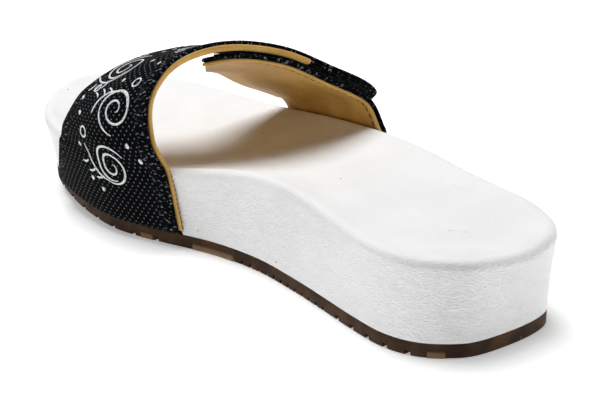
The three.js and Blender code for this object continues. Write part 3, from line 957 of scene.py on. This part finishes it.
@dataclass
class StrapSheet:
    """One layer of a strap: a sheet with rounded edges between two depths below the outside face."""

    surface: StrapSurface
    name: str
    start: float
    end: float
    low: float
    high: float
    rear_inset: float = 0.0
    front_inset: float = 0.0
    columns: int = 64
    row_mm: float = 0.9
    turn_steps: int = 5
    creases: tuple[Crease, ...] = ()
    border: float = 0.0
    border_dip: float = 0.35
    roll_place: tuple[float, float] = (1.7, 1.1)
    dip_place: tuple[float, float] = (3.9, 0.7)
    start_slant: float = 0.0
    end_slant: float = 0.0

    def relief(self, along: np.ndarray, across: np.ndarray, face: np.ndarray) -> np.ndarray:
        """Height of the sheet's face above its plain place.

        Args:
            along: Millimetres from the lasting edge.
            across: Millimetres from the rear edge.
            face: 1 on the outside face, -1 on the face against the foot.

        Returns:
            Millimetres that the face stands out.
        """
        height = np.zeros_like(along)
        for crease in self.creases:
            height = height + crease.relief(along, across)
        free = smooth(along, self.surface.rim_along - 4.0, self.surface.rim_along + 6.0)
        if self.border > 0.0:
            roll = self.border * bell(across, *self.roll_place)
            dip = self.border_dip * bell(across, *self.dip_place)
            height = np.where(face < 0.0, (roll - dip) * free, height)
        return height

    def loop(self) -> tuple[np.ndarray, np.ndarray, np.ndarray]:
        """Section of the sheet, from the middle of its foot face round its rear edge and back.

        Returns:
            Share of the width, how far an edge's roll reaches past it and the side of the face.
        """
        side = np.linspace(0.0, 1.0, self.columns)
        bend = np.linspace(0.0, math.pi, 2 * self.turn_steps + 1)[1:-1]
        half = self.columns // 2
        plain = [side[half::-1], np.zeros(len(bend)), side, np.ones(len(bend)), side[:half - 1:-1]]
        reach = [np.zeros(half + 1), -np.sin(bend), np.zeros(self.columns), np.sin(bend)]
        reach.append(np.zeros(self.columns - half))
        lift = [-np.ones(half + 1), -np.cos(bend), np.ones(self.columns), np.cos(bend)]
        lift.append(-np.ones(self.columns - half))
        return np.concatenate(plain), np.concatenate(reach), np.concatenate(lift)

    def build(self) -> bpy.types.Object:
        """Models the sheet as one closed shell."""
        half = (self.high - self.low) / 2.0
        middle = (self.high + self.low) / 2.0
        turn = np.linspace(0.0, math.pi / 2.0, self.turn_steps + 1)
        count = max(8, int((self.end - self.start) / self.row_mm))
        body = np.linspace(self.start + half, self.end - half, count)
        begin = self.start + half * (1.0 - np.cos(turn[:-1]))
        finish = (self.end - half * (1.0 - np.cos(turn[:-1])))[::-1]
        along = np.concatenate([begin, body, finish])
        squeeze = np.concatenate([np.sin(turn[:-1]), np.ones(count), np.sin(turn[:-1])[::-1]])
        plain, reach, lift = self.loop()
        grid_along = np.repeat(along[:, None], len(plain), axis=1)
        share = (grid_along - self.start) / (self.end - self.start)
        slant = lerp(self.start_slant, self.end_slant, share)
        grid_along = grid_along - slant * plain[None, :]
        width = self.surface.width_mm(grid_along)
        round_mm = half * squeeze[:, None]
        front = width - self.front_inset - half
        across_mm = lerp(self.rear_inset + half, front, plain[None, :]) + reach[None, :] * round_mm
        face = np.broadcast_to(lift[None, :], grid_along.shape)
        height = self.relief(grid_along, across_mm, face) * np.abs(face)
        if self.border > 0.0:
            height = height * np.sign(face)
        depth = middle - face * round_mm - height
        points = self.surface.at(grid_along, across_mm / width, depth)
        nearest = np.minimum(across_mm, width - across_mm)
        nearest = np.minimum(nearest, self.surface.length - grid_along)
        run = np.linalg.norm(np.diff(points, axis=1), axis=2)
        run = np.concatenate([np.zeros((len(along), 1)), np.cumsum(run, axis=1)], axis=1)
        outer_rear = int(np.argmax((plain == 0.0) & (reach == 0.0) & (lift == 1.0)))
        cloth_across = run - run[:, outer_rear : outer_rear + 1]
        bm = bmesh.new()
        cloth = np.stack([grid_along, cloth_across], axis=-1)
        add_grid(bm, points, cloth, nearest)
        return finish_mesh(bm, self.name)


@dataclass
class Footbed:
    """The footbed: dished top, rounded rim and crinkled side wall, in one moulding."""

    sole: SoleShape
    around: int = 704
    wall_rows: int = 26
    rim_rows: int = 8
    dish_rows: int = 26
    recess_roof: float = 9.1
    recess_inward: float = 9.3
    outsole_gap: float = 0.02
    belly: float = 0.35
    crinkle_mm: float = 0.16
    crinkle_size: tuple[float, float, float] = (7.0, 7.0, 2.6)
    zone_crinkle: float = 0.3
    zone_margin: float = 1.0

    def crinkle(self, points: np.ndarray, outward: np.ndarray, amount: np.ndarray) -> np.ndarray:
        """Points of the wall pushed in and out by soft low creases that run along it."""
        moved = points.copy()
        for at, point in enumerate(points):
            seed = Vector(point / np.array(self.crinkle_size))
            height = noise.noise(seed) + 0.5 * noise.noise(seed * 2.1)
            moved[at] += outward[at] * height * self.crinkle_mm * amount[at]
        return moved

    def foot_zone(self, along: np.ndarray, share: np.ndarray) -> np.ndarray:
        """True where a strap's lasting edge lies under the footbed."""
        inside = np.zeros(len(along), bool)
        for strap in (MEDIAL, LATERAL):
            rear = lerp(strap.rear, strap.front, strap.rear_at_rim) + strap.rear_spread
            front = lerp(strap.rear, strap.front, strap.front_at_rim) + strap.front_spread
            low = rear * self.sole.length + self.zone_margin
            high = front * self.sole.length - self.zone_margin
            there = (along > low) & (along < high)
            near = share < 0.5 if strap.side is Side.INNER else share > 0.5
            inside |= there & near
        return inside

    def build(self) -> bpy.types.Object:
        """Models the footbed as rings from the underside up the wall and in to the spine."""
        share = np.arange(self.around + 1) / self.around
        corner, outward, edge = self.sole.rim(share)
        spine = self.sole.spine(share)
        lift = self.sole.outsole + self.outsole_gap
        zone = self.foot_zone(corner[:, 1], share)
        rings = []
        inward = edge - outward * self.recess_inward
        for place in (0.0, 0.5, 1.0):
            rings.append(self.sole.level(lerp(spine, inward, place), lift))
        rings.append(self.sole.level(inward, np.where(zone, self.recess_roof, lift)))
        low = self.sole.wall(corner, outward, 0.0, lift)
        high = self.sole.wall(corner, outward, 1.0, lift)
        rise = (self.sole.ground(low[:, 1]) + self.recess_roof - low[:, 2]) / (high[:, 2] - low[:, 2])
        start = np.where(zone, rise, 0.0)
        for row in range(self.wall_rows + 1):
            place = np.maximum(start, row / self.wall_rows)
            ring = self.sole.wall(corner, outward, place, lift)
            belly = self.belly * np.sin(math.pi * place)
            amount = smooth(place, 0.0, 0.12) * smooth(1.0 - place, 0.0, 0.15)
            ring = ring - outward * belly[:, None]
            rings.append(self.crinkle(ring, outward, amount * np.where(zone, self.zone_crinkle, 1.0)))
        radius = self.sole.rim_radius
        for row in range(1, self.rim_rows + 1):
            turn = math.pi / 2.0 * row / self.rim_rows
            ring = corner - outward * (radius * (1.0 - math.cos(turn)))
            ring[:, 2] -= radius * (1.0 - math.sin(turn))
            rings.append(ring)
        inside = corner - outward * radius
        for row in range(1, self.dish_rows + 1):
            place = 1.0 - row / self.dish_rows
            ring = lerp(spine, inside, place)
            ring[:, 2] = lerp(spine[:, 2], inside[:, 2], place * place)
            rings.append(ring)
        bm = bmesh.new()
        add_grid(bm, np.stack(rings))
        piece = finish_mesh(bm, "footbed_shell", weld=2e-5)
        piece.data.materials.append(CoatedFoam().make())
        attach(piece, "root")
        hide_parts("footbed")
        return piece


@dataclass
class Outsole:
    """The outsole: a thin plate with grooves across it, nicked edges and clear amber lugs."""

    sole: SoleShape
    around: int = 704
    groove_width: float = 2.2
    groove_depth: float = 1.8
    groove_length: float = 150.0
    grooves: tuple[tuple[float, float, int], ...] = ((0.045, 0.215, 6), (0.6, 0.93, 9))
    nick_width: float = 1.2
    nick_depth: float = 1.7
    nick_pitch: float = 4.6
    nick_length: float = 5.0
    nick_span: tuple[float, float] = (66.0, 134.0)
    lugs: tuple[tuple[float, float], ...] = ((8.4, 13.2), (121.0, 140.5), (158.6, 164.0))
    lug_section: tuple[tuple[float, float], ...] = (
        (-3.0, 0.05), (0.05, 0.05), (0.22, 0.3), (0.22, 2.4), (0.05, 2.7), (-3.0, 2.7)
    )
    lug_rows: int = 12
    edge_radius: float = 0.5
    edge_rows: int = 4
    floor_rows: int = 9
    sharp_angle: float = 40.0

    def plate(self) -> bpy.types.Object:
        """Models the plain plate with softly rounded edges."""
        share = np.arange(self.around + 1) / self.around
        _, outward, edge = self.sole.rim(share)
        spine = self.sole.spine(share)
        radius = self.edge_radius
        profile = []
        for place in np.linspace(0.0, 1.0, self.floor_rows):
            profile.append((place, 0.0, -radius))
        for turn in np.linspace(0.0, math.pi / 2.0, self.edge_rows)[1:]:
            profile.append((1.0, radius * (1.0 - math.cos(turn)), radius * (math.sin(turn) - 1.0)))
        profile.append((1.0, self.sole.outsole / 2.0, 0.0))
        for turn in np.linspace(0.0, math.pi / 2.0, self.edge_rows):
            out = radius * (math.cos(turn) - 1.0)
            profile.append((1.0, self.sole.outsole - radius * (1.0 - math.sin(turn)), out))
        for place in (0.6, 0.0):
            profile.append((place, self.sole.outsole, -radius))
        rings = []
        for place, height, out in profile:
            rings.append(self.sole.level(lerp(spine, edge + outward * out, place), height))
        bm = bmesh.new()
        add_grid(bm, np.stack(rings))
        return finish_mesh(bm, "outsole_shell", weld=2e-5)

    def cutter(self) -> bpy.types.Object:
        """Models all the bars that cut the grooves and nicks."""
        bm = bmesh.new()
        for first, last, count in self.grooves:
            for place in np.linspace(first, last, count) * self.sole.length:
                spot = np.array([0.0, place, 0.0])
                self.bar(bm, spot, self.groove_width, self.groove_depth, self.groove_length)
        for place in np.arange(self.nick_span[0], self.nick_span[1], self.nick_pitch):
            share = self.sole.share_at(Side.INNER, np.array([place]))
            edge = self.sole.rim(share)[2][0]
            self.bar(bm, edge, self.nick_width, self.nick_depth, self.nick_length)
        bmesh.ops.recalc_face_normals(bm, faces=bm.faces)
        return to_object(bm, "groove_cutter")

    def bar(
        self, bm: bmesh.types.BMesh, place: np.ndarray, width: float, depth: float, length: float
    ) -> None:
        """Adds one bar that lies along the ground there."""
        near = np.array([place[1] - 0.5, place[1] + 0.5])
        low, high = self.sole.ground(near)
        verts = bmesh.ops.create_cube(bm, size=1.0)["verts"]
        bmesh.ops.scale(bm, verts=verts, vec=Vector((length, width, 2.0 * depth)) * MM)
        turn = Matrix.Rotation(math.atan(high - low), 4, "X")
        bmesh.ops.rotate(bm, verts=verts, cent=(0.0, 0.0, 0.0), matrix=turn)
        spot = np.array([place[0], place[1], float(self.sole.ground(place[1]))])
        bmesh.ops.translate(bm, verts=verts, vec=Vector(to_frame(spot)))

    def lug(self, bm: bmesh.types.BMesh, start: float, end: float) -> None:
        """Adds one amber lug in the lower edge of the plate."""
        along = np.linspace(start, end, self.lug_rows)
        _, outward, edge = self.sole.rim(self.sole.share_at(Side.INNER, along))
        rings = []
        for out, height in (*self.lug_section, self.lug_section[0]):
            point = edge + outward * out
            point[:, 2] = self.sole.ground(edge[:, 1]) + height
            rings.append(point)
        add_grid(bm, np.stack(rings))

    def build(self) -> bpy.types.Object:
        """Cuts the plate and sets the lugs."""
        plate = self.plate()
        cutter = self.cutter()
        cut = plate.modifiers.new("grooves", "BOOLEAN")
        cut.operation = "DIFFERENCE"
        cut.solver = "EXACT"
        cut.object = cutter
        cut.use_self = True
        bpy.context.view_layer.update()
        graph = bpy.context.evaluated_depsgraph_get()
        mesh = bpy.data.meshes.new_from_object(plate.evaluated_get(graph))
        plate.modifiers.clear()
        plate.data = mesh
        plate.data.name = "outsole_shell"
        bpy.data.objects.remove(cutter)
        plate.data.set_sharp_from_angle(angle=math.radians(self.sharp_angle))
        plate.data.materials.append(GumRubber().make())
        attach(plate, "root")
        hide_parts("outsole")
        bm = bmesh.new()
        for start, end in self.lugs:
            self.lug(bm, start, end)
        lugs = finish_mesh(bm, "outsole_lugs")
        lugs.data.materials.append(AmberRubber().make())
        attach(lugs, "root")
        return plate


@dataclass
class Stroke:
    """One printed line on the cloth: its points in millimetres, along and across, and its width."""

    points: np.ndarray
    width: float = 0.88
    taper: float = 0.45


# The print in millimetres, along from the lasting edge and across from the rear edge.
# Scrolls are along, across, size, where the curl starts in degrees and the hand that it winds to.
SCROLLS = (
    (35.0, 26.0, 0.85, 150.0, 1.0),
    (58.0, 18.0, 1.0, 20.0, -1.0),
    (80.0, 34.0, 1.05, 200.0, 1.0),
    (103.0, 18.0, 0.95, 35.0, 1.0),
)
# A stem's points lie beside the curl's tip and out from it
STEM = ((5.0, 0.6), (10.5, -1.5), (15.0, -6.0))
# Leaves are their place on the stem and their length. A leaf's points are shares of its length
# out from the stem, and millimetres along it.
LEAVES = ((3.0, 2.4), (7.5, 2.8), (12.0, 2.2))
LEAF = ((0.8, 0.9), (1.5, 3.0))
# Rings are along, across and radius
RINGS = (
    (46.5, 38.5, 2.1), (66.0, 38.0, 1.8), (69.5, 12.0, 2.0), (92.0, 43.0, 1.9), (91.0, 9.5, 1.7),
)
DOTS = (
    (24.0, 34.0), (27.5, 39.5), (40.0, 44.0), (44.5, 12.5), (39.0, 9.5), (53.5, 43.0), (60.0, 44.5),
    (71.5, 22.0), (84.0, 18.0), (97.0, 34.0), (103.0, 37.0), (109.0, 38.5), (80.0, 8.5),
)


@dataclass
class ScrollPrint:
    """A plain scroll ornament of curls, rings and dots, printed on the strap."""

    sheet: StrapSheet
    rise: float = 0.07
    sink: float = 0.08
    step: float = 0.5
    curl_radius: float = 8.4
    curl_eye: float = 1.3
    curl_turns: float = 1.5
    outer_turns: float = 0.7
    outer_lead: float = 150.0
    outer_radii: tuple[float, float] = (10.4, 6.4)
    leaf_width: float = 0.8
    ring_width: float = 0.7
    dot_width: float = 1.9

    @staticmethod
    def curl(
        centre: tuple[float, float], start: float, turns: float, outer: float, inner: float,
        count: int = 60,
    ) -> np.ndarray:
        """Points of a spiral round its centre, or of a ring where both radii are the same."""
        share = np.linspace(0.0, 1.0, count)
        angle = math.radians(start) + share * turns * 2.0 * math.pi
        radius = lerp(outer, inner, share)
        return np.stack(
            [centre[0] + radius * np.cos(angle), centre[1] + radius * np.sin(angle)], axis=-1
        )

    @staticmethod
    def sweep(points: tuple[tuple[float, float], ...]) -> np.ndarray:
        """Points of a smooth line through a few given ones."""
        rows = np.array(points, float)
        return catmull(rows, np.linspace(0.0, len(rows) - 1, 24 * len(rows)), closed=False)

    def strokes(self) -> list[Stroke]:
        """The ornament: scrolled stems with leaves, and rings and dots between them."""
        lines = []
        for along, across, size, turn, hand in SCROLLS:
            reach = self.curl_radius * size
            outer, inner = (radius * size for radius in self.outer_radii)
            centre = (along, across)
            turns = self.curl_turns * hand
            lines.append(Stroke(self.curl(centre, turn, turns, reach, self.curl_eye)))
            turns = self.outer_turns * hand
            lines.append(Stroke(self.curl(centre, turn + self.outer_lead, turns, outer, inner)))
            angle = math.radians(turn)
            tip = np.array([along + reach * math.cos(angle), across + reach * math.sin(angle)])
            out = np.array([math.cos(angle), math.sin(angle)])
            side = np.array([math.sin(angle), -math.cos(angle)]) * hand
            stem = [tip + beside * side + outside * out for beside, outside in STEM]
            lines.append(Stroke(self.sweep((tip, *stem))))
            for step, length in LEAVES:
                foot = tip + step * side
                leaf = [foot + length * share * out + beside * side for share, beside in LEAF]
                lines.append(Stroke(self.sweep((foot, *leaf)), self.leaf_width))
        for along, across, radius in RINGS:
            ring = self.curl((along, across), 0.0, 1.0, radius, radius, 40)
            lines.append(Stroke(ring, self.ring_width, 1.0))
        for along, across in DOTS:
            dot = np.stack([along + np.linspace(-1.0, 1.0, 12), np.full(12, across)], axis=-1)
            lines.append(Stroke(dot, self.dot_width, 0.0))
        return lines

    def lay(self, bm: bmesh.types.BMesh, stroke: Stroke) -> None:
        """Lays one line on the cloth as a thin raised film."""
        run = np.concatenate([[0.0], np.cumsum(np.linalg.norm(np.diff(stroke.points, axis=0), axis=1))])
        count = max(6, int(run[-1] / self.step))
        place = np.linspace(0.0, run[-1], count)
        line = np.stack([np.interp(place, run, stroke.points[:, axis]) for axis in (0, 1)], axis=-1)
        heading = unit(np.gradient(line, axis=0))
        side = np.stack([-heading[:, 1], heading[:, 0]], axis=-1)
        share = np.linspace(-1.0, 1.0, count)
        if stroke.taper == 0.0:
            width = stroke.width * np.sqrt(np.clip(1.0 - share * share, 0.02, 1.0))
        else:
            width = stroke.width * lerp(1.0, stroke.taper, np.clip(np.abs(share) * 3.0 - 2.0, 0.0, 1.0))
        half = side * (width / 2.0)[:, None]
        surface = self.sheet.surface
        rings = []
        top = ((-1.0, -self.rise), (1.0, -self.rise))
        base = ((1.0, self.sink), (-1.0, self.sink))
        for sign, depth in (*top, *base, top[0]):
            spot = line + half * sign
            along = spot[:, 0]
            across = spot[:, 1]
            height = self.sheet.relief(along, across, np.ones(count))
            share_across = across / surface.width_mm(along)
            rings.append(surface.at(along, share_across, depth - height))
        add_grid(bm, np.stack(rings))

    def build(self, name: str) -> bpy.types.Object:
        """Models the whole print as one piece."""
        bm = bmesh.new()
        for stroke in self.strokes():
            self.lay(bm, stroke)
        piece = finish_mesh(bm, name)
        piece.data.materials.append(PrintInk().make())
        return piece


@dataclass
class StitchRow:
    """A row of stitches along a strap's rear edge."""

    surface: StrapSurface
    start: float
    end: float
    across: float
    depth: float
    length: float = 2.4
    gap: float = 0.5
    radius: float = 0.24

    def build(self, name: str, finish: Finish) -> bpy.types.Object:
        """Models each stitch as a small rounded thread.

        Args:
            name: The piece's name.
            finish: The thread's finish.

        Returns:
            One object with all the stitches.
        """
        bm = bmesh.new()
        for place in np.arange(self.start, self.end, self.length + self.gap):
            ends = np.array([place, place + self.length])
            width = self.surface.width_mm(ends)
            share = self.across / width
            spots = to_frame(self.surface.at(ends, share, np.full(2, self.depth)))
            axis = Vector(spots[1] - spots[0])
            verts = bmesh.ops.create_icosphere(bm, subdivisions=2, radius=1.0)["verts"]
            size = Vector((self.radius * MM, self.radius * MM, axis.length / 2.0))
            bmesh.ops.scale(bm, verts=verts, vec=size)
            turn = axis.to_track_quat("Z", "Y").to_matrix()
            bmesh.ops.rotate(bm, verts=verts, cent=(0.0, 0.0, 0.0), matrix=turn)
            bmesh.ops.translate(bm, verts=verts, vec=Vector((spots[0] + spots[1]) / 2.0))
        piece = finish_mesh(bm, name, weld=1e-7)
        piece.data.materials.append(finish.make())
        return piece


@dataclass
class MedialStrap:
    """The strap from the inner side, which closes on top: cloth cover, tan lining and printed scrolls."""

    sole: SoleShape
    # Where the tan lining stops and the black tip cloth starts, and the slant of that edge in millimetres;
    # the early, slanted start of the black cloth is painted shade where the two straps close together
    lining_share: float = 0.73
    shade_wedge_slant: float = 22.0

    def build(self) -> list[bpy.types.Object]:
        """Models the strap's layers and dresses them."""
        surface = StrapSurface(self.sole, MEDIAL)
        rim = surface.rim_along
        creases = (
            Crease(rim + 4.0, 30.0, half_length=26.0, half_width=5.5, depth=0.5),
            Crease(rim - 9.0, 14.0, half_length=16.0, half_width=4.0, depth=0.3, tilt=8.0),
            Crease(rim + 24.0, 44.0, half_length=18.0, half_width=6.0, depth=-0.35, tilt=-12.0),
            Crease(104.0, 26.0, half_length=20.0, half_width=5.0, depth=0.3, tilt=6.0),
        )
        cloth = PinDotCloth().make()
        lining_end = lerp(rim, surface.length, self.lining_share)
        cover = StrapSheet(
            surface, "medial_cover", start=0.0, end=surface.length, low=0.0, high=1.55,
            rear_inset=0.9, front_inset=0.4, creases=creases,
        )
        outer = cover.build()
        outer.data.materials.append(cloth)
        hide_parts("strap_medial")
        lining = StrapSheet(
            surface, "medial_lining", start=0.0, end=lining_end, low=1.6, high=3.0,
            front_inset=0.6, columns=110, border=1.1, border_dip=0.2, end_slant=self.shade_wedge_slant,
        ).build()
        lining.data.materials.append(TanLining().make())
        # Black cloth at the tip: real backing near the tip, and painted shade in the slanted wedge that
        # reaches back along the lining
        tip_cloth_and_shade = StrapSheet(
            surface, "medial_tip_cloth_and_painted_shade", start=lining_end - 0.5, end=surface.length, low=1.6,
            high=3.0, rear_inset=0.7, front_inset=0.6, start_slant=self.shade_wedge_slant,
        ).build()
        tip_cloth_and_shade.data.materials.append(cloth)
        ink = ScrollPrint(cover).build("medial_print")
        whip = StitchRow(
            surface, start=14.0, end=rim, across=0.35, depth=3.0, length=0.9,
            gap=0.8, radius=0.25,
        )
        thread = whip.build("medial_edge_thread", SewingThread("black_thread", colour="#1b1613"))
        made = [outer, lining, tip_cloth_and_shade, ink, thread]
        for piece in made:
            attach(piece, "root")
        LOG.info("medial strap %.1f mm long, rim at %.1f mm", surface.length, rim)
        return made


@dataclass
class LateralStrap:
    """The strap from the outer side, which lies under the other: cloth cover and a bordered tan lining."""

    sole: SoleShape

    def build(self) -> list[bpy.types.Object]:
        """Models the strap's layers and dresses them."""
        surface = StrapSurface(self.sole, LATERAL)
        rim = surface.rim_along
        creases = (
            Crease(rim + 5.0, 34.0, half_length=24.0, half_width=5.0, depth=0.4),
            Crease(rim + 30.0, 20.0, half_length=20.0, half_width=6.0, depth=0.3, tilt=10.0),
        )
        cover = StrapSheet(
            surface, "lateral_cover", start=0.0, end=surface.length, low=0.0, high=1.9,
            creases=creases,
        ).build()
        cover.data.materials.append(PinDotCloth().make())
        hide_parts("strap_lateral")
        lining = StrapSheet(
            surface, "lateral_lining", start=0.0, end=surface.length, low=1.95, high=3.0,
            rear_inset=0.6, front_inset=0.1, columns=110, border=0.3, border_dip=0.5,
        ).build()
        lining.data.materials.append(TanLining().make())
        row = StitchRow(
            surface, start=rim + 2.0, end=surface.length - 5.0, across=4.1, depth=2.9
        )
        stitches = row.build("lateral_stitches", SewingThread())
        made = [cover, lining, stitches]
        for piece in made:
            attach(piece, "root")
        LOG.info("lateral strap %.1f mm long, rim at %.1f mm", surface.length, rim)
        return made


@dataclass
class Closure:
    """The two fastening tapes between the straps."""

    nodes: dict

    def build(self) -> None:
        """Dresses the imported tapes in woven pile."""
        for name in ("hook_pad", "loop_pad"):
            piece = self.nodes[name]
            piece.data.materials.clear()
            piece.data.materials.append(FasteningTape(name + "_tape").make())


@dataclass
class Studio:
    """White paper floor, soft lights and the camera at the photographed angle, in metres and degrees."""

    position: tuple[float, float, float] = (-0.373048, -0.454858, 0.247924)
    azimuth: float = 40.226
    elevation: float = 21.672
    roll: float = -0.785
    lens: float = 95.634
    floor_size: float = 4.0
    air_strength: float = 0.05

    def floor(self) -> None:
        """Lays the paper floor."""
        bm = bmesh.new()
        bmesh.ops.create_grid(bm, x_segments=1, y_segments=1, size=self.floor_size)
        floor = to_object(bm, "paper_floor")
        floor.data.materials.append(StudioPaper().make())

    def softbox(
        self, name: str, place: tuple[float, float, float], size: tuple[float, float], watts: float
    ) -> None:
        """Hangs one soft light that faces the shoe."""
        data = bpy.data.lights.new(name, "AREA")
        data.shape = "RECTANGLE"
        data.size, data.size_y = size
        data.energy = watts
        lamp = link_object(name, data)
        spot = Vector(place)
        lamp.rotation_mode = "QUATERNION"
        lamp.rotation_quaternion = (-spot).to_track_quat("-Z", "Y")
        lamp.location = spot

    def lights(self) -> None:
        """Hangs the softboxes and sets the pale surroundings."""
        self.softbox("top_softbox", place=(0.0, 0.4, 1.25), size=(1.0, 1.0), watts=19.5)
        self.softbox("heel_softbox", place=(1.4, -1.0, 0.3), size=(0.8, 0.5), watts=9.5)
        self.softbox("side_softbox", place=(-1.4, -0.2, 0.3), size=(0.8, 0.5), watts=1.7)
        world = bpy.data.worlds.new("studio_air")
        world.use_nodes = True
        back = world.node_tree.nodes["Background"]
        back.inputs["Color"].default_value = srgb("#ffffff")
        back.inputs["Strength"].default_value = self.air_strength
        bpy.context.scene.world = world

    def camera(self) -> None:
        """Places the camera."""
        azimuth, elevation, roll = (math.radians(a) for a in (self.azimuth, self.elevation, self.roll))
        back = Vector(
            (
                -math.sin(azimuth) * math.cos(elevation),
                -math.cos(azimuth) * math.cos(elevation),
                math.sin(elevation),
            )
        )
        level = (-back).cross(Vector((0.0, 0.0, 1.0))).normalized()
        upright = level.cross(-back)
        right = math.cos(roll) * level + math.sin(roll) * upright
        up = -math.sin(roll) * level + math.cos(roll) * upright
        data = bpy.data.cameras.new("photo_camera")
        data.sensor_fit = "HORIZONTAL"
        data.sensor_width = 36.0
        data.lens = self.lens
        data.clip_start = 0.01
        data.clip_end = 20.0
        camera = link_object("photo_camera", data)
        turn = Matrix((right, up, back)).transposed().to_4x4()
        camera.matrix_world = Matrix.Translation(Vector(self.position)) @ turn
        bpy.context.scene.camera = camera

    def build(self) -> None:
        """Builds the whole set."""
        self.floor()
        self.lights()
        self.camera()
        bpy.context.scene.view_settings.view_transform = "Standard"


def main() -> None:
    """Builds the set, the sole and the straps in order, and reports each piece."""
    logging.basicConfig(level=logging.INFO, format="%(name)s: %(message)s")
    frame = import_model()
    Studio().build()
    sole = SoleShape()
    made = [Footbed(sole).build(), Outsole(sole).build()]
    made += MedialStrap(sole).build()
    made += LateralStrap(sole).build()
    Closure(frame["nodes"]).build()
    for piece in made:
        LOG.info("%s: %d faces", piece.name, len(piece.data.polygons))
    bpy.context.view_layer.update()


if __name__ == "__main__":
    main()
